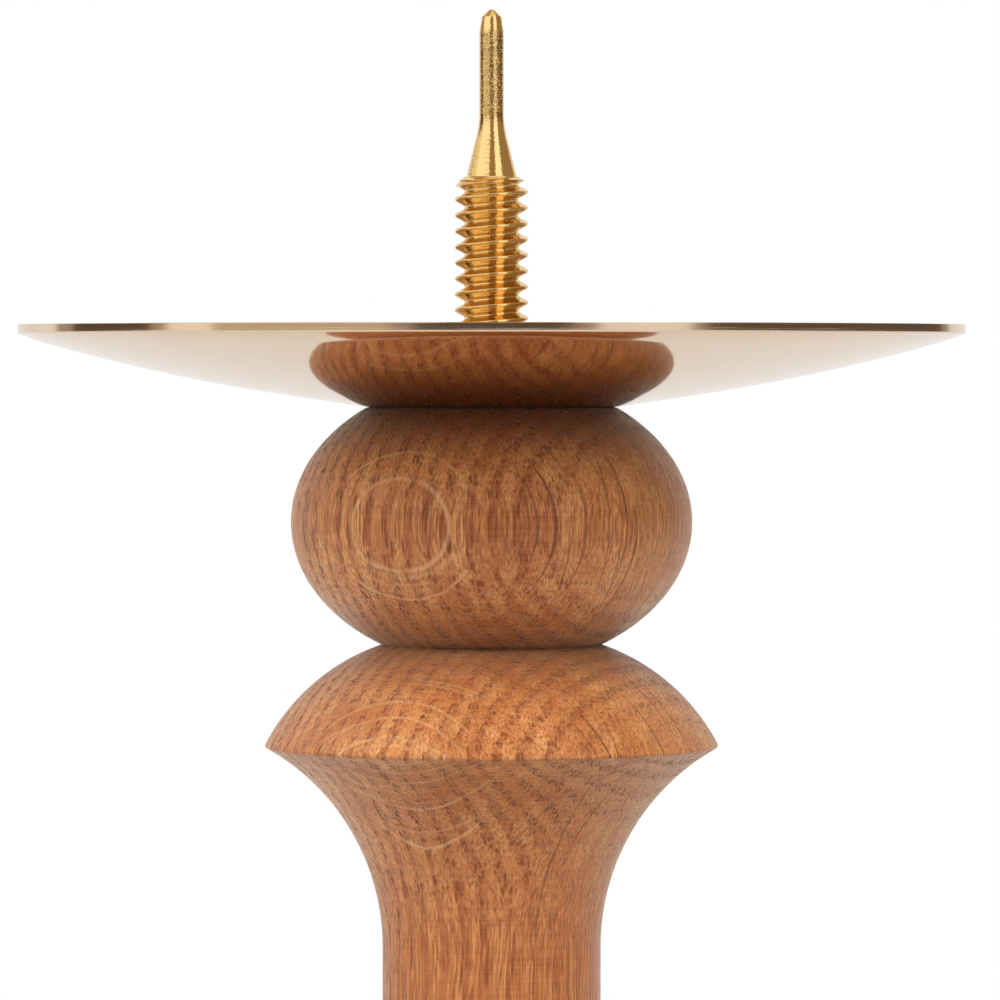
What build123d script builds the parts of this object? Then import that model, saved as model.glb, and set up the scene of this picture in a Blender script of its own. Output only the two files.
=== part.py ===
from build123d import *
import math
import os

# Pricket candle stand: a turned oak stem and foot, a spun brass dish and a threaded brass spike.
# Sizes are in millimetres. The stand turns about Z and rests on Z = 0.

# Felt pad
felt_thickness = 2.0
felt_inset = 1.0
felt_clearance = 0.3

# Oak foot
foot_radius = 52.0
foot_height = 33.0
foot_edge_height = 9.0
foot_edge_swell = 2.4
foot_step_width = 3.2
foot_step_height = 1.6
foot_rim_width = 5.3
foot_top_radius = 22.0
foot_top_round = 1.0
mortise_floor = 9.0
mortise_gap = 1.0

# Oak stem, from the tenon up
tenon_radius = 8.0
tenon_chamfer = 0.8
glue_clearance = 0.05
base_bead_radius = 19.5
base_bead_height = 12.0
base_bead_swell = 4.0
ring_radius = 13.5
ring_height = 3.5
waist_radius = 11.4
vase_height = 27.0
belly_radius = 16.2
column_height = 68.0
neck_radius = 10.4
neck_height = 4.5
cove_height = 19.1
collar_radius = 21.65
collar_height = 9.68
collar_crown = 1.45
collar_arris = 0.4
groove_radius = 10.45
ball_radius = 19.1
ball_half_height = 13.95
seat_radius = 11.85

# Brass drip dish
dish_radius = 45.0
dish_height = 7.87
dish_sheet = 0.85
dish_flat_radius = 11.95
dish_cone_radius = 20.0
dish_cone_angle = 8.6
dish_lip_width = 2.8
dish_lip_rise = 1.0
dish_edge_round = 0.25
dish_hole_clearance = 0.3

# Brass spike, from its lower end up
thread_radius = 3.5
thread_depth = 0.92
thread_in_oak = 26.0
thread_above_seat = 21.9
thread_clearance = 0.05
cone_height = 5.0
cone_fillet = 8.6
pin_radius = 1.15
pin_height = 8.8
nose_radius = 0.93
nose_height = 1.4
tip_radius = 0.36
tip_height = 0.55
tip_dome = 0.15
drill_gap = 1.0
drill_point_angle = 118.0

# The foot's edge swells out, its step is set in, and the felt's recess leaves a rim of oak
foot_edge_radius = foot_radius - foot_edge_swell
foot_step_radius = foot_edge_radius - foot_step_width
recess_radius = foot_edge_radius - foot_rim_width
felt_radius = recess_radius - felt_clearance

# Heights of the seats and mouldings above the table
foot_bottom = felt_thickness - felt_inset
recess_top = felt_thickness
foot_edge_top = foot_bottom + foot_edge_height
foot_step_top = foot_edge_top + foot_step_height
foot_top = foot_bottom + foot_height
mortise_bottom = recess_top + mortise_floor
tenon_bottom = mortise_bottom + mortise_gap
base_bead_top = foot_top + base_bead_height
ring_top = base_bead_top + ring_height
belly_level = ring_top + vase_height
neck_bottom = belly_level + column_height
neck_top = neck_bottom + neck_height
collar_level = neck_top + cove_height
groove_level = collar_level + collar_height

# The ball is an ellipse cut off at the groove below and at the dish's seat above
groove_angle = math.degrees(math.acos(groove_radius / ball_radius))
seat_angle = math.degrees(math.acos(seat_radius / ball_radius))
ball_level = groove_level + ball_half_height * math.sin(math.radians(groove_angle))
seat_level = ball_level + ball_half_height * math.sin(math.radians(seat_angle))

# The spike stands in a drilled hole that is deeper than its thread
spike_bottom = seat_level - thread_in_oak
thread_top = seat_level + thread_above_seat
thread_core_radius = thread_radius - thread_depth
cone_top = thread_top + cone_height
pin_top = cone_top + pin_height
nose_top = pin_top + nose_height
tip_edge = nose_top + tip_height
spike_top = tip_edge + tip_dome

UP = (0, 1)
DOWN = (0, -1)

os.makedirs("parts", exist_ok=True)


def ogee(start, end):
    """Draws two equal arcs that leave start and reach end straight up."""
    middle = ((start[0] + end[0]) / 2, (start[1] + end[1]) / 2)
    lower = TangentArc(start, middle, tangent=UP)
    TangentArc(middle, end, tangent=lower % 1)


# Felt disc, glued into the recess and standing proud of it
with BuildPart() as felt_pad:
    with BuildSketch():
        Circle(felt_radius)
    extrude(amount=felt_thickness)
felt_pad.part.label = "felt_pad"
export_step(felt_pad.part, "parts/felt_pad.step")


# Foot: rounded edge, small step, ogee up to a flat top, and a mortise for the stem's tenon
with BuildPart() as oak_foot:
    with BuildSketch(Plane.XZ):
        with BuildLine():
            Polyline(
                (0, foot_top),
                (0, recess_top),
                (recess_radius, recess_top),
                (recess_radius, foot_bottom),
                (foot_edge_radius, foot_bottom),
            )
            ThreePointArc(
                (foot_edge_radius, foot_bottom),
                (foot_radius, foot_bottom + foot_edge_height / 2),
                (foot_edge_radius, foot_edge_top),
            )
            Polyline(
                (foot_edge_radius, foot_edge_top),
                (foot_step_radius, foot_edge_top),
                (foot_step_radius, foot_step_top),
            )
            ogee((foot_step_radius, foot_step_top), (foot_top_radius, foot_top))
            Line((foot_top_radius, foot_top), (0, foot_top))
        make_face()
    revolve(axis=Axis.Z)
    fillet(oak_foot.edges().group_by(Axis.Z)[-1], radius=foot_top_round)
    with Locations((0, 0, foot_top)):
        Hole(tenon_radius + glue_clearance, depth=foot_top - mortise_bottom)
oak_foot.part.label = "oak_foot"
export_step(oak_foot.part, "parts/oak_foot.step")


# Stem: tenon, base bead, ring, vase, column, neck, cove, domed collar and ball, turned in one piece
with BuildPart() as oak_stem:
    with BuildSketch(Plane.XZ) as stem_profile:
        with BuildLine():
            base_bead_edge = base_bead_radius - base_bead_swell
            Polyline(
                (0, seat_level),
                (0, tenon_bottom),
                (tenon_radius - tenon_chamfer, tenon_bottom),
                (tenon_radius, tenon_bottom + tenon_chamfer),
                (tenon_radius, foot_top),
                (base_bead_edge, foot_top),
            )
            ThreePointArc(
                (base_bead_edge, foot_top),
                (base_bead_radius, foot_top + base_bead_height / 2),
                (base_bead_edge, base_bead_top),
            )
            Polyline(
                (base_bead_edge, base_bead_top),
                (ring_radius, base_bead_top),
                (ring_radius, ring_top),
                (waist_radius, ring_top),
            )
            TangentArc((belly_radius, belly_level), (waist_radius, ring_top), tangent=DOWN)
            ogee((belly_radius, belly_level), (neck_radius, neck_bottom))
            Line((neck_radius, neck_bottom), (neck_radius, neck_top))
            TangentArc((neck_radius, neck_top), (collar_radius, collar_level), tangent=UP)
            SagittaArc((groove_radius, groove_level), (collar_radius, collar_level), collar_crown)
            ball = EllipticalCenterArc(
                (0, ball_level),
                ball_radius,
                ball_half_height,
                start_angle=-groove_angle,
                arc_size=groove_angle + seat_angle,
            )
            Line(ball @ 1, (0, seat_level))
        make_face()
        arris = stem_profile.vertices().sort_by_distance((collar_radius, collar_level))[0]
        fillet(arris, radius=collar_arris)
    revolve(axis=Axis.Z)
    # The hole for the spike, drilled from the seat and ending in the drill's point
    with BuildSketch(Plane.XZ):
        with BuildLine():
            hole_radius = thread_radius + thread_clearance
            hole_bottom = spike_bottom - drill_gap
            point_depth = hole_radius / math.tan(math.radians(drill_point_angle / 2))
            Polyline(
                (0, seat_level),
                (hole_radius, seat_level),
                (hole_radius, hole_bottom),
                (0, hole_bottom - point_depth),
                close=True,
            )
        make_face()
    revolve(axis=Axis.Z, mode=Mode.SUBTRACT)
oak_stem.part.label = "oak_stem"
export_step(oak_stem.part, "parts/oak_stem.step")


# Dish: flat centre, straight cone, a long curve, and a lip that turns up a little more to the cut edge.
# The sheet keeps its height along Z, so it thins on the slope as spun metal does.
with BuildPart() as drip_dish:
    with BuildSketch(Plane.XZ) as dish_profile:
        hole_edge = thread_radius + dish_hole_clearance
        slope = math.radians(dish_cone_angle)
        cone_rise = (dish_cone_radius - dish_flat_radius) * math.tan(slope)
        along_cone = (math.cos(slope), math.sin(slope))
        rim_level = seat_level + dish_height
        with BuildLine():
            for level in (0, dish_sheet):
                flat_level = seat_level + level
                edge_level = rim_level - dish_sheet + level
                cone_end = (dish_cone_radius, flat_level + cone_rise)
                lip_start = (dish_radius - dish_lip_width, edge_level - dish_lip_rise)
                Polyline((hole_edge, flat_level), (dish_flat_radius, flat_level), cone_end)
                curve = TangentArc(cone_end, lip_start, tangent=along_cone)
                TangentArc(lip_start, (dish_radius, edge_level), tangent=curve % 1)
            Line((hole_edge, seat_level), (hole_edge, seat_level + dish_sheet))
            Line((dish_radius, rim_level - dish_sheet), (dish_radius, rim_level))
        make_face()
        fillet(dish_profile.vertices().group_by(Axis.X)[-1], radius=dish_edge_round)
    revolve(axis=Axis.Z)
drip_dish.part.label = "drip_dish"
export_step(drip_dish.part, "parts/drip_dish.step")


# Spike: thread at its crest diameter, flared cone, straight pin, tapered nose and blunt tip
with BuildPart() as pricket_spike:
    with BuildSketch(Plane.XZ) as spike_profile:
        with BuildLine():
            Polyline(
                (0, spike_top),
                (0, spike_bottom),
                (thread_core_radius, spike_bottom),
                (thread_radius, spike_bottom + thread_depth),
                (thread_radius, thread_top - thread_depth),
                (thread_core_radius, thread_top),
                (pin_radius, cone_top),
                (pin_radius, pin_top),
                (nose_radius, nose_top),
                (tip_radius, tip_edge),
            )
            TangentArc((0, spike_top), (tip_radius, tip_edge), tangent=(1, 0))
        make_face()
        cone_corner = spike_profile.vertices().sort_by_distance((pin_radius, cone_top))[0]
        fillet(cone_corner, radius=cone_fillet)
    revolve(axis=Axis.Z)
pricket_spike.part.label = "pricket_spike"
export_step(pricket_spike.part, "parts/pricket_spike.step")
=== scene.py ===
import cmath
import math

import bmesh
import bpy
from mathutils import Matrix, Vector


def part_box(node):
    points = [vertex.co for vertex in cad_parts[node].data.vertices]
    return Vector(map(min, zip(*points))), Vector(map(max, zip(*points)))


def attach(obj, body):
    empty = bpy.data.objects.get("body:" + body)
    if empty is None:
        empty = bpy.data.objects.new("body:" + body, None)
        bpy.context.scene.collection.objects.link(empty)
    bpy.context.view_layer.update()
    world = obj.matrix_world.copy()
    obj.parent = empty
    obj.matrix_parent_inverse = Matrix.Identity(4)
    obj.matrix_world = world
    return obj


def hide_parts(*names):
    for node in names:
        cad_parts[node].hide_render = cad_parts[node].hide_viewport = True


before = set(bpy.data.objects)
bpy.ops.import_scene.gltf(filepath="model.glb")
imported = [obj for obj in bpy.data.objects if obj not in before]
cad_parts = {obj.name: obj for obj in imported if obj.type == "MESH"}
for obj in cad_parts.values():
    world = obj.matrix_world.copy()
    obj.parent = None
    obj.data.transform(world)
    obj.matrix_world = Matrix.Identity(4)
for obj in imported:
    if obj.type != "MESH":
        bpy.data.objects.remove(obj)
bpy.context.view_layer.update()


# Oak foot
# A plate of oak turned on a faceplate, so its grain runs level, from left to right. It has a rounded
# edge, a small step and an ogee, a mortise for the stem and a shallow recess below for the felt.
mm = 0.001
same_spot = 1e-7
UP = 1j
foot_low, foot_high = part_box("oak_foot")
foot_edge_height = 9 * mm
foot_edge_swell = 2.4 * mm
foot_step_width = 3.2 * mm
foot_step_height = 1.6 * mm
foot_top_radius = 22 * mm
foot_top_round = 1 * mm
felt_recess_depth = 1 * mm
felt_recess_rim = 5.3 * mm
mortise_radius = 8.05 * mm
mortise_floor = 9 * mm


def bow(start, leaving, end, pieces=24):
    """Points after start on the one arc that leaves it in a direction and reaches end.

    A point of an outline is a complex number, its radius plus its height times 1j.
    """
    chord = end - start
    turn = cmath.phase(chord / leaving)
    reach = leaving / abs(leaving) * abs(chord) / math.sin(turn)
    shares = [i / pieces for i in range(1, pieces + 1)]
    return [start + reach * cmath.exp(1j * turn * s) * math.sin(turn * s) for s in shares]


def swell(start, end, rise, pieces=24):
    """Points after start on the arc to end that bulges by rise to the right of the way."""
    chord = end - start
    return bow(start, chord * cmath.exp(-2j * math.atan(2 * rise / abs(chord))), end, pieces)


def ogee(start, end, pieces=24):
    """Points after start on two equal arcs that leave start and reach end straight up."""
    lower = bow(start, UP, (start + end) / 2, pieces)
    return lower + [start + end - point for point in reversed([start] + lower[:-1])]


def soften(outline, corner, reach, pieces=6):
    """The outline with the corner at that point rounded over, from reach before it to reach after it."""
    at = min(range(len(outline)), key=lambda i: abs(outline[i] - corner))
    before = outline[:at]
    after = outline[at + 1:]
    while abs(before[-1] - corner) < reach and len(before) > 1:
        before.pop()
    while abs(after[0] - corner) < reach and len(after) > 1:
        after.pop(0)
    first = corner + (before[-1] - corner) / abs(before[-1] - corner) * reach
    last = corner + (after[0] - corner) / abs(after[0] - corner) * reach
    rounding = []
    for i in range(pieces + 1):
        s = i / pieces
        rounding.append(first * (1 - s) ** 2 + corner * 2 * s * (1 - s) + last * s ** 2)
    return before + rounding + after


def finer(outline, longest):
    """The outline with its long straight runs divided, so that no step is longer than that."""
    points = [outline[0]]
    for end in outline[1:]:
        start = points[-1]
        steps = max(1, math.ceil(abs(end - start) / longest))
        points += [start + (end - start) * i / steps for i in range(1, steps + 1)]
    return points


def turned(name, outline, steps, sharp=30):
    """A piece turned about Z from an outline. Edges that bend by more than sharp degrees stay crisp."""
    run = [0]
    for start, end in zip(outline, outline[1:]):
        run.append(run[-1] + abs(end - start))
    vertices = []
    rings = []
    for point in outline:
        on_axis = point.real < same_spot
        rings.append((len(vertices), 1 if on_axis else steps))
        for i in range(1 if on_axis else steps):
            angle = 2 * math.pi * i / steps
            vertices.append((point.real * math.cos(angle), point.real * math.sin(angle), point.imag))
    faces = []
    unrolled = []
    for row in range(len(outline) - 1):
        for i in range(steps):
            corners = [(row, i), (row, i + 1), (row + 1, i + 1), (row + 1, i)]
            if rings[row][1] == 1:
                corners.pop(1)
            if rings[row + 1][1] == 1:
                corners.pop(2)
            faces.append([rings[r][0] + c % rings[r][1] for r, c in corners])
            unrolled += [(c / steps, run[r] / run[-1]) for r, c in corners]
    mesh = bpy.data.meshes.new(name)
    mesh.from_pydata(vertices, [], faces)
    layer = mesh.uv_layers.new(name="OFBake")
    for corner, place in zip(layer.uv, unrolled):
        corner.vector = place
    shape = bmesh.new()
    shape.from_mesh(mesh)
    bmesh.ops.remove_doubles(shape, verts=shape.verts, dist=same_spot)
    bmesh.ops.recalc_face_normals(shape, faces=shape.faces)
    shape.to_mesh(mesh)
    shape.free()
    mesh.shade_smooth()
    mesh.set_sharp_from_angle(angle=math.radians(sharp))
    piece = bpy.data.objects.new(name, mesh)
    bpy.context.scene.collection.objects.link(piece)
    return piece


class Layer:
    """One value of a finish. The usual signs combine layers and numbers into further nodes."""

    def __init__(self, finish, socket):
        self.finish = finish
        self.socket = socket

    def __add__(self, other):
        return self.finish.math("ADD", self, other)

    def __sub__(self, other):
        return self.finish.math("SUBTRACT", self, other)

    def __rsub__(self, other):
        return self.finish.math("SUBTRACT", other, self)

    def __mul__(self, other):
        return self.finish.math("MULTIPLY", self, other)

    __radd__ = __add__
    __rmul__ = __mul__


class Finish:
    """A material and the nodes that its pattern is mixed from. Places are in millimetres."""

    def __init__(self, name, metal=False):
        self.material = bpy.data.materials.new(name)
        self.material.use_nodes = True
        self.tree = self.material.node_tree
        self.shader = self.tree.nodes["Principled BSDF"]
        self.shader.inputs["Metallic"].default_value = 1.0 if metal else 0.0
        where = self.node("ShaderNodeTexCoord")
        place = self.node("ShaderNodeVectorMath", operation="SCALE")
        self.tree.links.new(where.outputs["Object"], place.inputs["Vector"])
        place.inputs["Scale"].default_value = 1 / mm
        self.place = Layer(self, place.outputs["Vector"])
        self.normal = Layer(self, where.outputs["Normal"])

    def node(self, kind, **settings):
        made = self.tree.nodes.new(kind)
        for name, value in settings.items():
            setattr(made, name, value)
        return made

    def plug(self, socket, value):
        """Sets a socket from a layer, a number or a colour."""
        if isinstance(value, Layer):
            self.tree.links.new(value.socket, socket)
        elif socket.type == "RGBA":
            socket.default_value = (*value, 1)
        else:
            socket.default_value = value

    def coat(self, **sockets):
        """Sets the shader's own sockets, such as base_color or roughness."""
        for name, value in sockets.items():
            label = name.replace("_", " ").title().replace("Ior", "IOR")
            self.plug(self.shader.inputs[label], value)

    def math(self, operation, *values):
        made = self.node("ShaderNodeMath", operation=operation)
        for socket, value in zip(made.inputs, values):
            self.plug(socket, value)
        return Layer(self, made.outputs["Value"])

    def along(self, vector, direction):
        """How far a vector layer reaches along a direction."""
        made = self.node("ShaderNodeVectorMath", operation="DOT_PRODUCT")
        self.plug(made.inputs[0], vector)
        made.inputs[1].default_value = direction
        return Layer(self, made.outputs["Value"])

    def point(self, x, y, z):
        made = self.node("ShaderNodeCombineXYZ")
        for socket, value in zip(made.inputs, (x, y, z)):
            self.plug(socket, value)
        return Layer(self, made.outputs["Vector"])

    def clouds(self, where, detail=2.0, coarse=0.5):
        """Soft noise from 0 to 1, with lumps about one unit of where across."""
        made = self.node("ShaderNodeTexNoise")
        self.plug(made.inputs["Vector"], where)
        made.inputs["Scale"].default_value = 1.0
        made.inputs["Detail"].default_value = detail
        made.inputs["Roughness"].default_value = coarse
        return Layer(self, made.outputs["Fac"])

    def grains(self, where):
        """Scattered grains, one per unit of where: the distance to its middle, and its luck from 0 to 1."""
        made = self.node("ShaderNodeTexVoronoi")
        self.plug(made.inputs["Vector"], where)
        made.inputs["Scale"].default_value = 1.0
        luck = self.node("ShaderNodeSeparateColor")
        self.tree.links.new(made.outputs["Color"], luck.inputs["Color"])
        return Layer(self, made.outputs["Distance"]), Layer(self, luck.outputs["Red"])

    def rise(self, value, low, high):
        """A smooth step from 0 at low to 1 at high. With high below low it falls."""
        made = self.node("ShaderNodeMapRange", interpolation_type="SMOOTHSTEP")
        for socket, level in zip(made.inputs, (value, low, high)):
            self.plug(socket, level)
        return Layer(self, made.outputs["Result"])

    def stain(self, share, under, over):
        """The colour under, covered by the colour over to that share."""
        made = self.node("ShaderNodeMix", data_type="RGBA")
        self.plug(made.inputs[0], share)
        self.plug(made.inputs[6], under)
        self.plug(made.inputs[7], over)
        return Layer(self, made.outputs[2])

    def relief(self, height, depth):
        """A normal that raises the surface by up to depth millimetres where height is 1."""
        made = self.node("ShaderNodeBump")
        made.inputs["Strength"].default_value = 1.0
        made.inputs["Distance"].default_value = depth * mm
        self.plug(made.inputs["Height"], height)
        return Layer(self, made.outputs["Normal"])


def oak(name, fibre_way, bark_way, shift, great_rays=(), painted_shade_bands=(), painted_shade_below=None):
    """Oiled oak as a solid block: rings, pores in the early wood, ray sheets, fibres and lathe marks.

    fibre_way is the way of the fibres, and bark_way points from the pith to the bark. The sheets of the
    rays stand square to both. great_rays are single broad sheets: the depth of each and the levels
    between which it runs, in millimetres, and its strength. painted_shade_bands are levels that the oak
    darkens towards, as painted shade, with the reach and the share of each. Between the levels of
    painted_shade_below its colour deepens, as painted shade.
    """
    ring_width = 1.9
    pith_distance = 90.0
    ray_bend = 0.014
    wood = Finish(name)
    ray_way = Vector(bark_way).cross(Vector(fibre_way))
    out = wood.along(wood.place, bark_way) + shift[0]
    side = wood.along(wood.place, ray_way) + shift[1]
    length = wood.along(wood.place, fibre_way) + shift[2]
    sway = wood.clouds(wood.point(out * 0.18, side * 0.18, length * 0.07)) - 0.5
    across = out + sway * 1.8
    aside = side - sway

    # Yearly rings, which wander a little and differ in width
    drift = wood.clouds(wood.point(out * 0.05, side * 0.05, length * 0.02))
    from_pith = wood.math("SQRT", wood.math("POWER", out + pith_distance, 2.0) + side * side)
    ragged = wood.clouds(wood.point(out * 1.3, side * 1.3, length * 0.12))
    season = wood.math("FRACT", from_pith * (1 / ring_width) + drift * 2.0 + ragged * 0.8)
    cut_across = wood.math("ABSOLUTE", wood.along(wood.normal, bark_way))
    early = wood.rise(season, 0.0, 0.08) * wood.rise(season, 0.60, 0.32)
    early = early * (1.0 - wood.rise(cut_across, 0.55, 0.85) * 0.75)

    # Pores: long open vessels, wide in the early wood and fine all over, that show most in end grain
    end_grain = wood.math("ABSOLUTE", wood.along(wood.normal, fibre_way))
    wide, wide_luck = wood.grains(wood.point(across * 2.6, aside * 2.6, length * 0.22))
    pores = wood.rise(wide, 0.55, 0.25) * wood.rise(wide_luck, 0.0, 0.4) * (early * 0.8 + 0.2)
    clogged = pores * wood.rise(wide_luck, 0.965, 0.975)
    fine, fine_luck = wood.grains(wood.point(across * 4.6, aside * 4.6, length * 0.45))
    fine_pores = wood.rise(fine, 0.5, 0.2) * wood.rise(fine_luck, 0.25, 0.6)

    # Rays: upright sheets from pith to bark, dark lines where they are cut across and pale where they lie
    # along the face
    sheet, sheet_luck = wood.grains(wood.point(side * 2.6, out * 0.05, length * 0.04))
    rays = wood.rise(sheet, 0.42, 0.15) * wood.rise(sheet_luck, 0.5, 0.62)
    wander = wood.clouds(wood.point(out * 0.15, length * 0.12, side * 0.02)) - 0.5
    thick = wood.clouds(wood.point(out * 0.35, length * 0.35, side * 0.35)) * 2.0
    broad_rays = 0.0
    for depth, lowest, highest, strength in great_rays:
        apart = wood.math("ABSOLUTE", side + wander * 0.6 - out * out * ray_bend - depth)
        ends = wood.rise(length, lowest, lowest + 3) * wood.rise(length, highest, highest - 3)
        sheet = wood.rise(apart, 0.14, 0.03) * ends * strength
        broad_rays = wood.math("MAXIMUM", broad_rays, sheet)
    broad_rays = broad_rays * wood.rise(thick, 0.45, 1.0)
    flecks = wood.math("MAXIMUM", rays * 0.3, broad_rays) * wood.rise(cut_across, 0.37, 0.25)
    ray_edges = wood.math("MAXIMUM", rays, broad_rays) * wood.rise(cut_across, 0.4, 0.65)

    # Fibres, flame-like lighter stripes in the late wood, and the marks of the turning tool
    fibres = wood.clouds(wood.point(across * 5.0, aside * 5.0, length * 0.14), detail=3.0, coarse=0.75)
    flames = wood.clouds(wood.point(across * 0.35, aside * 0.6, length * 0.03), detail=3.0)
    patches = wood.clouds(wood.point(out * 0.14, side * 0.14, length * 0.03))
    level = wood.along(wood.place, (0, 0, 1))
    x = wood.along(wood.place, (1, 0, 0))
    y = wood.along(wood.place, (0, 1, 0))
    radius = wood.math("SQRT", x * x + y * y)
    lathe = wood.clouds(wood.point(level * 5.0 - radius * 1.6, x * 0.12, y * 0.12), detail=3.0, coarse=0.7)

    colour = wood.stain(wood.rise(patches, 0.3, 0.7), (0.480, 0.158, 0.042), (0.625, 0.252, 0.078))
    colour = wood.stain(wood.rise(flames, 0.44, 0.66) * 0.45, colour, (0.760, 0.390, 0.140))
    # Painted shade: the colour darkens from the first level down to the second and stays dark below, so the
    # lower stem looks less lit.
    if painted_shade_below:
        colour = wood.stain(wood.rise(level, *painted_shade_below) * 0.6, colour, (0.390, 0.112, 0.025))
    colour = wood.stain(early * 0.55, colour, (0.350, 0.088, 0.021))
    streaks = wood.rise(fibres, 0.42, 0.60) * (0.85 - wood.rise(end_grain, 0.05, 0.35) * 0.3)
    colour = wood.stain(streaks, colour, (0.285, 0.076, 0.021))
    colour = wood.stain(wood.rise(fibres, 0.46, 0.34) * 0.25, colour, (0.760, 0.390, 0.150))
    colour = wood.stain(fine_pores * 0.7, colour, (0.240, 0.052, 0.010))
    colour = wood.stain(pores * 0.8, colour, (0.250, 0.046, 0.005))
    colour = wood.stain(clogged * 0.6, colour, (0.045, 0.014, 0.008))
    colour = wood.stain(flecks * 0.8, colour, (0.740, 0.430, 0.200))
    colour = wood.stain(ray_edges * 0.85, colour, (0.170, 0.046, 0.014))
    colour = wood.stain(wood.rise(end_grain, 0.4, 1.0) * 0.15, colour, (0.250, 0.078, 0.026))
    colour = wood.stain(wood.rise(lathe, 0.40, 0.62) * 0.09, colour, (0.740, 0.390, 0.160))
    # Painted shade: the colour darkens towards each band's level, as the shade under the dish and in the
    # groove.
    for middle, reach, share in painted_shade_bands:
        apart = wood.math("ABSOLUTE", level - middle)
        colour = wood.stain(wood.rise(apart, reach, 0.0) * share, colour, (0.110, 0.016, 0.002))
    wood.coat(base_color=colour, roughness=0.38 + pores * 0.3, specular_ior_level=0.3)
    wood.coat(sheen_weight=0.38, sheen_roughness=0.35, sheen_tint=(1.0, 0.95, 0.72))
    wood.coat(normal=wood.relief(1.0 - pores - fine_pores * 0.4 + lathe * 0.2, 0.14))
    return wood.material


def dress(piece, material, body, node):
    """Gives a piece its finish, and lets it stand for its node on that node's body."""
    piece.data.materials.append(material)
    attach(piece, body)
    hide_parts(node)


foot_edge = foot_high.x - foot_edge_swell
edge_low = foot_edge + foot_low.z * 1j
edge_high = edge_low + foot_edge_height * 1j
step_low = edge_high - foot_step_width
step_high = step_low + foot_step_height * 1j
foot_rim = foot_top_radius + foot_high.z * 1j
recess_top = (foot_low.z + felt_recess_depth) * 1j
recess_edge = foot_edge - felt_recess_rim
mortise_bottom = recess_top + mortise_floor * 1j
foot_outline = [recess_top, recess_edge + recess_top, recess_edge + foot_low.z * 1j, edge_low]
foot_outline += swell(edge_low, edge_high, foot_edge_swell)
foot_outline += [step_low, step_high] + ogee(step_high, foot_rim)
foot_outline += [mortise_radius + foot_high.z * 1j, mortise_radius + mortise_bottom, mortise_bottom]
foot_outline = soften(foot_outline, foot_rim, foot_top_round)
foot = turned("oak_foot_turning", finer(foot_outline, 2 * mm), 192)
foot_oak = oak("oiled oak of the foot", fibre_way=(1, 0, 0), bark_way=(0, -0.28, 0.96), shift=(40, 11, 3))
dress(foot, foot_oak, "stand", "oak_foot")


# Felt pad
# A disc punched from pressed wool felt and glued into the recess under the foot. It stands proud of the
# oak by half its thickness, so that the stand rests on felt alone.
felt_low, felt_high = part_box("felt_pad")
felt_edge_round = 0.6 * mm
felt_corner = felt_high.x + felt_low.z * 1j
felt_outline = [felt_low.z * 1j, felt_corner, felt_high.x + felt_high.z * 1j, felt_high.z * 1j]
felt_outline = soften(felt_outline, felt_corner, felt_edge_round)
felt = turned("pressed_felt_disc", finer(felt_outline, 1.5 * mm), 128)


def pressed_felt():
    """Dark green wool felt: a mat of crossing fibres that lifts in places, with a soft nap."""
    wool = Finish("pressed wool felt")
    x = wool.along(wool.place, (1, 0, 0))
    y = wool.along(wool.place, (0, 1, 0))
    z = wool.along(wool.place, (0, 0, 1))
    sway = wool.clouds(wool.point(x * 0.8, y * 0.8, z * 0.8)) * 6.0
    one_way = wool.clouds(wool.point(x * 9.0 + sway, y * 1.5, z * 5.0), detail=3.0)
    other_way = wool.clouds(wool.point(x * 1.5, y * 9.0 + sway, z * 5.0), detail=3.0)
    fibres = wool.math("MAXIMUM", one_way, other_way)
    wear = wool.clouds(wool.point(x * 0.09, y * 0.09, z * 0.09))
    colour = wool.stain(wool.rise(fibres, 0.45, 0.8), (0.020, 0.026, 0.017), (0.085, 0.100, 0.070))
    colour = wool.stain(wool.rise(wear, 0.5, 0.8) * 0.4, colour, (0.10, 0.10, 0.085))
    wool.coat(base_color=colour, roughness=0.95, sheen_weight=0.4, sheen_roughness=0.5)
    wool.coat(normal=wool.relief(fibres, 0.15))
    return wool.material


dress(felt, pressed_felt(), "stand", "felt_pad")


# Oak stem
# One length of straight-grained oak turned between centres: tenon, bead and ring, a long vase, the neck,
# a cove that flares to a sharp arris, a domed collar, and a flattened ball that is drilled for the spike.
stem_low, stem_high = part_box("oak_stem")
tenon_radius = 8 * mm
tenon_chamfer = 0.8 * mm
bead_edge = 15.5 * mm
bead_height = 12 * mm
bead_swell = 4 * mm
ring_radius = 13.5 * mm
ring_height = 3.5 * mm
waist_radius = 11.4 * mm
vase_height = 27 * mm
belly_radius = 16.2 * mm
column_height = 68 * mm
neck_radius = 10.4 * mm
neck_height = 4.5 * mm
cove_height = 19.1 * mm
collar_radius = 21.65 * mm
collar_height = 9.68 * mm
collar_crown = 1.45 * mm
arris_round = 0.3 * mm
groove_radius = 10.45 * mm
ball_radius = 19.1 * mm
ball_half_height = 13.95 * mm
ball_steps = 72
seat_radius = 11.85 * mm
seat_round = 0.3 * mm
drilled_radius = 3.55 * mm
drilled_depth = 27 * mm
drill_point_height = 2.13 * mm

seat_level = stem_high.z
tenon_end = tenon_radius + stem_low.z * 1j
bead_low = bead_edge + foot_high.z * 1j
bead_high = bead_low + bead_height * 1j
ring_low = ring_radius + bead_high.imag * 1j
ring_high = ring_low + ring_height * 1j
waist = waist_radius + ring_high.imag * 1j
belly = belly_radius + (waist.imag + vase_height) * 1j
neck_low = neck_radius + (belly.imag + column_height) * 1j
neck_high = neck_low + neck_height * 1j
collar = collar_radius + (neck_high.imag + cove_height) * 1j
groove = groove_radius + (collar.imag + collar_height) * 1j
groove_angle = math.acos(groove_radius / ball_radius)
seat_angle = math.acos(seat_radius / ball_radius)
ball_level = groove.imag + ball_half_height * math.sin(groove_angle)
seat_edge = seat_radius + seat_level * 1j
drilled_bottom = (seat_level - drilled_depth) * 1j

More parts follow.
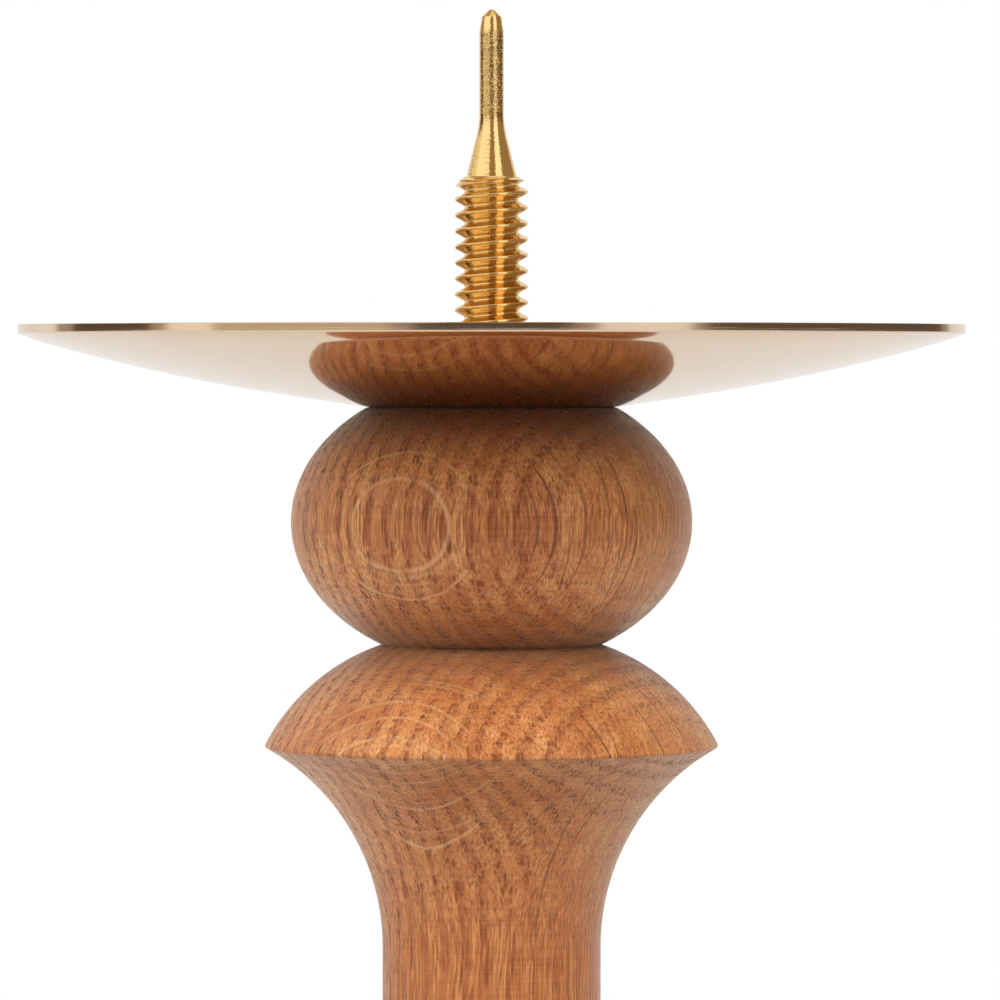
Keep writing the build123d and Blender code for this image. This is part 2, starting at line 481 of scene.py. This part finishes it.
stem_outline = [tenon_end.imag * 1j, tenon_end - tenon_chamfer, tenon_end + tenon_chamfer * 1j]
stem_outline += [tenon_radius + bead_low.imag * 1j, bead_low]
stem_outline += swell(bead_low, bead_high, bead_swell, 32)
stem_outline += [ring_low, ring_high, waist]
stem_outline += bow(belly, -UP, waist, 32)[-2::-1] + [belly]
stem_outline += ogee(belly, neck_low, 40) + [neck_high]
stem_outline += bow(neck_high, UP, collar, 48)
stem_outline += swell(collar, groove, collar_crown, 32)
for i in range(1, ball_steps + 1):
    angle = -groove_angle + (groove_angle + seat_angle) * i / ball_steps
    height = ball_level + ball_half_height * math.sin(angle)
    stem_outline.append(ball_radius * math.cos(angle) + height * 1j)
stem_outline += [drilled_radius + seat_level * 1j, drilled_radius + drilled_bottom]
stem_outline += [drilled_bottom - drill_point_height * 1j]
stem_outline = soften(stem_outline, collar, arris_round)
stem_outline = soften(stem_outline, seat_edge, seat_round)
stem = turned("oak_stem_turning", finer(stem_outline, 2 * mm), 256)
stem_oak = oak(
    "oiled oak of the stem",
    fibre_way=(0, 0, 1),
    bark_way=(0.888, -0.460, 0),
    shift=(0, 0, 0),
    great_rays=(
        (20.6, 158, 180, 0.5),
        (19.3, 158, 178, 0.45),
        (18.0, 158, 177, 0.45),
        (18.1, 180, 199, 0.6),
        (16.6, 180, 199, 0.6),
        (15.4, 140, 168, 0.6),
        (14.8, 181, 197, 0.6),
        (12.9, 140, 168, 0.6),
        (13.1, 184, 199, 0.9),
        (9.1, 180, 189, 0.8),
        (5.8, 130, 172, 1.0),
        (4.8, 182, 198, 0.8),
        (3.2, 181, 198, 0.9),
        (-1.6, 181, 198, 0.8),
        (-5.1, 181, 198, 0.7),
        (-6.5, 181, 198, 0.6),
    ),
    # Painted shade under the dish's seat and in the groove between ball and collar.
    painted_shade_bands=((seat_level / mm, 6.0, 0.8), (groove.imag / mm, 5.0, 0.35)),
    # Painted shade: darker from the collar down to the neck, and all the way below it.
    painted_shade_below=(collar.imag / mm, neck_high.imag / mm),
)
dress(stem, stem_oak, "stand", "oak_stem")


# Drip dish
# A disc of brass sheet spun over a form and polished on both sides: a flat centre that sits on the oak,
# a straight cone, a long curve and a lip at the cut edge. It lies loose, with the spike through its hole.
dish_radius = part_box("drip_dish")[1].x
dish_height = 7.87 * mm
dish_sheet = 0.85 * mm
dish_hole = 3.8 * mm
dish_flat = 11.95 * mm
dish_cone = 20 * mm
dish_cone_slope = math.tan(math.radians(8.6))
dish_lip_width = 2.8 * mm
dish_lip_rise = 1.0 * mm
dish_bend = 1.0 * mm
dish_edge_round = 0.1 * mm

dish_outline = []
for level in (seat_level, seat_level + dish_sheet):
    flat_end = dish_flat + level * 1j
    cone_end = dish_cone + (level + (dish_cone - dish_flat) * dish_cone_slope) * 1j
    rim = dish_radius + (level + dish_height - dish_sheet) * 1j
    lip = rim - dish_lip_width - dish_lip_rise * 1j
    along_cone = 1 + dish_cone_slope * 1j
    along_lip = (lip - cone_end) ** 2 / along_cone
    face = [dish_hole + level * 1j, flat_end, cone_end]
    face += bow(cone_end, along_cone, lip, 48) + bow(lip, along_lip, rim, 12)
    face = finer(soften(face, flat_end, dish_bend), 1 * mm)
    dish_outline = dish_outline + face[::-1]
    dish_outline.reverse()
for corner in (rim, rim - dish_sheet * 1j):
    dish_outline = soften(dish_outline, corner, dish_edge_round)
dish = turned("spun_brass_dish", dish_outline + dish_outline[:1], 320)


def spun_brass():
    """Mirror-polished brass with the faint rings that spinning and polishing leave."""
    brass = Finish("polished spun brass", metal=True)
    x = brass.along(brass.place, (1, 0, 0))
    y = brass.along(brass.place, (0, 1, 0))
    z = brass.along(brass.place, (0, 0, 1))
    radius = brass.math("SQRT", x * x + y * y)
    spin_rings = brass.clouds(brass.point(radius * 5.0, 0.0, z * 0.2), detail=3.0)
    smears = brass.clouds(brass.point(x * 0.12, y * 0.12, z * 0.12), detail=3.0)
    cut_edge = brass.rise(radius, dish_radius / mm - 0.3, dish_radius / mm - 0.1)
    cut_marks = brass.clouds(brass.point(x * 0.06, y * 0.06, z * 7.0), detail=3.0) * cut_edge
    colour = brass.stain(brass.rise(smears, 0.4, 0.8) * 0.5, (0.74, 0.565, 0.40), (0.69, 0.52, 0.36))
    brass.coat(base_color=colour, roughness=0.04 + spin_rings * 0.05 + cut_edge * 0.05)
    brass.coat(normal=brass.relief(spin_rings * 0.06 + cut_marks, 0.008))
    return brass.material


dress(dish, spun_brass(), "dish", "drip_dish")


# Pricket spike
# One brass rod turned to a slim pin with a tapered nose and a flared cone, and cut with a right-hand
# thread below, 7 mm across and 1.5 mm a turn. It screws through the dish into the end of the oak.
spike_low, spike_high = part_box("pricket_spike")
thread_radius = 3.5 * mm
thread_depth = 0.92 * mm
thread_pitch = 1.5 * mm
thread_above_seat = 21.9 * mm
cone_height = 5 * mm
cone_bend = 1.25 * mm
cone_low_radius = 2.4 * mm
shoulder_radius = 3.15 * mm
shoulder_drop = 0.35 * mm
pin_radius = 1.15 * mm
pin_height = 8.8 * mm
nose_radius = 0.93 * mm
nose_height = 1.4 * mm
tip_radius = 0.36 * mm
tip_height = 0.55 * mm
crest_round = 0.2 * mm
root_round = 0.24 * mm
thread_start = 0.47
spike_steps = 128

thread_core = thread_radius - thread_depth
both_rounds = crest_round + root_round
between = thread_pitch / 2 + (thread_depth - both_rounds) * 1j
flank = cmath.phase(between) + math.asin(both_rounds / abs(between))
thread_top = seat_level + thread_above_seat
cone_high = pin_radius + (thread_top + cone_height) * 1j
pin_high = cone_high + pin_height * 1j
nose_high = nose_radius + (pin_high.imag + nose_height) * 1j
tip_edge = tip_radius + (nose_high.imag + tip_height) * 1j
shoulder = shoulder_radius + (thread_top - shoulder_drop) * 1j
spike_outline = [thread_core + (shoulder.imag - shoulder_drop) * 1j, shoulder]
spike_outline += [cone_low_radius + thread_top * 1j, cone_high, pin_high, nose_high, tip_edge]
spike_outline += bow(spike_high.z * 1j, 1, tip_edge, 6)[-2::-1] + [spike_high.z * 1j]
spike_outline = soften(spike_outline, cone_high, cone_bend, 16)
spike = turned("threaded_brass_spike", finer(spike_outline, 0.5 * mm), spike_steps)


def tooth(pieces=4):
    """One turn of the thread's outline, root then crest, with its radius counted from the core."""
    bends = [flank * (2 * i / pieces - 1) for i in range(pieces + 1)]
    root = [root_round * (math.sin(bend) * 1j + 1 - math.cos(bend)) for bend in bends]
    crest = [crest_round * (math.sin(bend) * 1j - 1 + math.cos(bend)) for bend in bends]
    return root + [point + thread_depth + thread_pitch / 2 * 1j for point in crest]


def cut_thread(piece):
    """Adds the threaded length below the cone, as one helical surface closed by a flat lower end.

    The map that unrolls the lathe's part doesn't suit a helix, so it goes.
    """
    shape = bmesh.new()
    shape.from_mesh(piece.data)
    turns = math.ceil((thread_top - spike_low.z) / thread_pitch) + 3
    outline = tooth()
    columns = []
    for i in range(spike_steps):
        angle = 2 * math.pi * i / spike_steps
        column = []
        for turn in range(turns):
            for point in outline:
                turns_up = turn - 2 + thread_start + i / spike_steps
                level = spike_low.z + thread_pitch * turns_up + point.imag
                level = min(max(level, spike_low.z), thread_top)
                chamfer = min(level - spike_low.z, thread_top - level)
                radius = thread_core + min(point.real, chamfer)
                column.append(shape.verts.new((radius * math.cos(angle), radius * math.sin(angle), level)))
        columns.append(column)
    for i in range(spike_steps):
        left = columns[i]
        right = columns[i + 1] if i + 1 < spike_steps else columns[0][len(outline):]
        for low, high in zip(range(len(left)), range(1, len(left))):
            if high < len(right):
                shape.faces.new((left[low], right[low], right[high], left[high]))
    middle = shape.verts.new((0, 0, spike_low.z))
    for i in range(spike_steps):
        shape.faces.new((columns[i - 1][0], middle, columns[i][0]))
    bmesh.ops.remove_doubles(shape, verts=shape.verts, dist=same_spot)
    bmesh.ops.recalc_face_normals(shape, faces=shape.faces)
    shape.to_mesh(piece.data)
    shape.free()
    piece.data.uv_layers.remove(piece.data.uv_layers["OFBake"])
    piece.data.shade_smooth()


def turned_brass():
    """Bright turned brass with fine tool marks. The pin's wall is left matte and grainy."""
    brass = Finish("bright turned brass", metal=True)
    x = brass.along(brass.place, (1, 0, 0))
    y = brass.along(brass.place, (0, 1, 0))
    z = brass.along(brass.place, (0, 0, 1))
    matte_low = cone_high.imag / mm + 0.6
    matte_high = pin_high.imag / mm
    matte = brass.rise(z, matte_low, matte_low + 0.5) * brass.rise(z, matte_high + 0.2, matte_high)
    tool_marks = brass.clouds(brass.point(x * 0.3, y * 0.3, z * 6.0), detail=2.0)
    grit = brass.clouds(brass.point(x * 4.5, y * 4.5, z * 4.5), detail=1.0)
    colour = brass.stain(matte * 0.5, (0.84, 0.55, 0.21), (0.66, 0.42, 0.16))
    brass.coat(base_color=colour, roughness=0.08 + tool_marks * 0.08)
    brass.coat(normal=brass.relief(tool_marks * 0.2 + grit * (matte * 0.7 + 0.3), 0.05))
    return brass.material


cut_thread(spike)
dress(spike, turned_brass(), "spike", "pricket_spike")


# Floor
# A plain white table under the stand. It keeps the stand's shadow close by and runs out to white.
floor_reach = 3.0
floor_level = -0.02 * mm
floor_fade = (0.3, 0.8)
floor_white = 0.74
floor_mesh = bpy.data.meshes.new("white_floor")
corners = [(-1, -1), (1, -1), (1, 1), (-1, 1)]
floor_spots = [(x * floor_reach, y * floor_reach, floor_level) for x, y in corners]
floor_mesh.from_pydata(floor_spots, [], [(0, 1, 2, 3)])
floor = bpy.data.objects.new("white_floor", floor_mesh)
bpy.context.scene.collection.objects.link(floor)


def seen_rays(finish):
    """1 for rays that show a surface to the camera, directly or in metal or glass, and 0 for other rays."""
    path = finish.node("ShaderNodeLightPath")
    seen = Layer(finish, path.outputs["Is Camera Ray"])
    for kind in ("Is Glossy Ray", "Is Transmission Ray"):
        seen = finish.math("MAXIMUM", seen, Layer(finish, path.outputs[kind]))
    return seen


white_table = Finish("white table")
white_table.coat(base_color=(floor_white, floor_white, floor_white), roughness=0.9, specular_ior_level=0.0)
away = white_table.node("ShaderNodeVectorMath", operation="LENGTH")
white_table.plug(away.inputs[0], white_table.place)
fade = white_table.rise(Layer(white_table, away.outputs["Value"]), floor_fade[0] / mm, floor_fade[1] / mm)
glow = white_table.node("ShaderNodeEmission")
whiten = white_table.node("ShaderNodeMixShader")
white_table.plug(whiten.inputs[0], fade * seen_rays(white_table))
white_table.tree.links.new(white_table.shader.outputs[0], whiten.inputs[1])
white_table.tree.links.new(glow.outputs[0], whiten.inputs[2])
white_table.tree.links.new(whiten.outputs[0], white_table.tree.nodes["Material Output"].inputs["Surface"])
floor_mesh.materials.append(white_table.material)


# Studio
# A white room with a wide softbox on the left, one on the right, a strip over the camera and one behind.
# Curved cards that only show in reflections stand round the brass, dark and pale as a studio's sides are.
studio_middle = Vector((0, 0, seat_level))


def towards(azimuth, elevation, distance):
    """A point that far from the dish, at degrees to the right of the camera and above the horizon."""
    a = math.radians(azimuth)
    e = math.radians(elevation)
    way = Vector((math.sin(a) * math.cos(e), -math.cos(a) * math.cos(e), math.sin(e)))
    return studio_middle + way * distance


def softbox(name, azimuth, elevation, distance, width, height, brightness):
    """A lamp that faces the dish and doesn't show itself, neither to the camera nor in the brass."""
    lamp = bpy.data.lights.new(name, "AREA")
    lamp.shape = "RECTANGLE"
    lamp.size = width
    lamp.size_y = height
    lamp.energy = brightness * math.pi * width * height
    stand = bpy.data.objects.new(name, lamp)
    stand.location = towards(azimuth, elevation, distance)
    stand.rotation_euler = (studio_middle - stand.location).to_track_quat("-Z", "Y").to_euler()
    stand.visible_camera = False
    stand.visible_glossy = False
    bpy.context.scene.collection.objects.link(stand)


def flag(name, azimuths, elevations, grey, distance=1.6):
    """A curved card that only shows in reflections."""
    card = bpy.data.meshes.new(name)
    columns = 24
    spots = []
    for elevation in elevations:
        for i in range(columns + 1):
            azimuth = azimuths[0] + (azimuths[1] - azimuths[0]) * i / columns
            spots.append(towards(azimuth, elevation, distance))
    rows = [(i, i + 1, i + columns + 2, i + columns + 1) for i in range(columns)]
    card.from_pydata(spots, [], rows)
    cloth = bpy.data.materials.new(name)
    cloth.use_nodes = True
    cloth.node_tree.nodes.remove(cloth.node_tree.nodes["Principled BSDF"])
    shade = cloth.node_tree.nodes.new("ShaderNodeEmission")
    shade.inputs["Color"].default_value = (*grey, 1)
    cloth.node_tree.links.new(shade.outputs[0], cloth.node_tree.nodes["Material Output"].inputs["Surface"])
    card.materials.append(cloth)
    hung = bpy.data.objects.new(name, card)
    hung.visible_camera = False
    hung.visible_diffuse = False
    hung.visible_shadow = False
    hung.visible_transmission = False
    bpy.context.scene.collection.objects.link(hung)


softbox("left_softbox", -74, 28, 1.2, 1.7, 0.7, 3.7)
softbox("right_softbox", 42, 31, 1.2, 0.6, 0.6, 6.2)
softbox("front_softbox", 13, 44, 1.2, 0.8, 0.3, 9.0)
softbox("back_softbox", 180, 48, 1.2, 1.2, 0.6, 3.6)
flag("camera_flag", (-18, 19), (-4, 9), (0.12, 0.09, 0.07))
flag("camera_flag_edge", (-24, 25), (-4, 9), (0.40, 0.33, 0.26), 1.7)
flag("left_flag", (-119, -88), (-4, 16), (0.12, 0.09, 0.07))
flag("left_flag_edge", (-128, -83), (-4, 16), (0.45, 0.37, 0.31), 1.7)
flag("left_gap", (-83, -69), (-4, 9), (1.1, 1.05, 1.0))
flag("left_wall", (-69, -24), (-4, 9), (0.64, 0.56, 0.44))
flag("right_flag", (52, 138), (-4, 9), (0.13, 0.10, 0.08))
flag("right_flag_edge", (48, 146), (-4, 9), (0.40, 0.33, 0.26), 1.7)
flag("left_low_reflector", (-82, -12), (9, 16), (1.0, 1.2, 1.35))
flag("left_reflector", (-82, -12), (16, 33), (1.3, 1.35, 1.5))
flag("left_ceiling", (-82, -12), (33, 60), (0.70, 0.62, 0.50))
flag("camera_room", (-12, 21), (9, 33), (0.38, 0.29, 0.19))
flag("camera_ceiling", (-12, 21), (33, 60), (0.32, 0.24, 0.15))
flag("right_low_reflector", (21, 54), (9, 16), (1.2, 1.45, 1.6))
flag("right_reflector", (21, 54), (16, 33), (1.45, 1.5, 1.7))
flag("right_ceiling", (21, 54), (33, 60), (1.5, 1.35, 1.2))
flag("far_room", (54, 146), (9, 60), (0.36, 0.28, 0.20))
flag("back_card", (130, 233), (-62, 30), (0.90, 0.89, 0.88), 0.22)
flag("back_ceiling", (143, 276), (40, 80), (0.55, 0.44, 0.32))

room = bpy.data.worlds.new("white room")
bpy.context.scene.world = room
room.use_nodes = True
room_light = 0.08
sky = room.node_tree.nodes["Background"]
path = room.node_tree.nodes.new("ShaderNodeLightPath")
seen = path.outputs["Is Camera Ray"]
for kind in ("Is Glossy Ray", "Is Transmission Ray"):
    either = room.node_tree.nodes.new("ShaderNodeMath")
    either.operation = "MAXIMUM"
    room.node_tree.links.new(seen, either.inputs[0])
    room.node_tree.links.new(path.outputs[kind], either.inputs[1])
    seen = either.outputs[0]
strength = room.node_tree.nodes.new("ShaderNodeMapRange")
strength.inputs["To Min"].default_value = room_light
room.node_tree.links.new(seen, strength.inputs["Value"])
room.node_tree.links.new(strength.outputs["Result"], sky.inputs["Strength"])
sky.inputs["Color"].default_value = (1, 1, 1, 1)


# Camera
# It stands a little under the level of the dish's rim and looks slightly down, through a long lens.
camera_distance = 630 * mm
camera_over_seat = 4.66 * mm
camera_right = 0.8 * mm
focal_pixels = 6617
picture_width = 1000
horizon_row = 358
camera = bpy.data.objects.new("camera", bpy.data.cameras.new("camera"))
camera.data.sensor_width = 36
camera.data.lens = focal_pixels / picture_width * camera.data.sensor_width
camera.data.clip_start = 0.01
dip = math.atan((picture_width / 2 - horizon_row) / focal_pixels)
camera.location = (camera_right, -camera_distance, seat_level + camera_over_seat)
camera.rotation_euler = (math.pi / 2 - dip, 0, 0)
bpy.context.scene.collection.objects.link(camera)
bpy.context.scene.camera = camera
bpy.context.scene.view_settings.view_transform = "Standard"
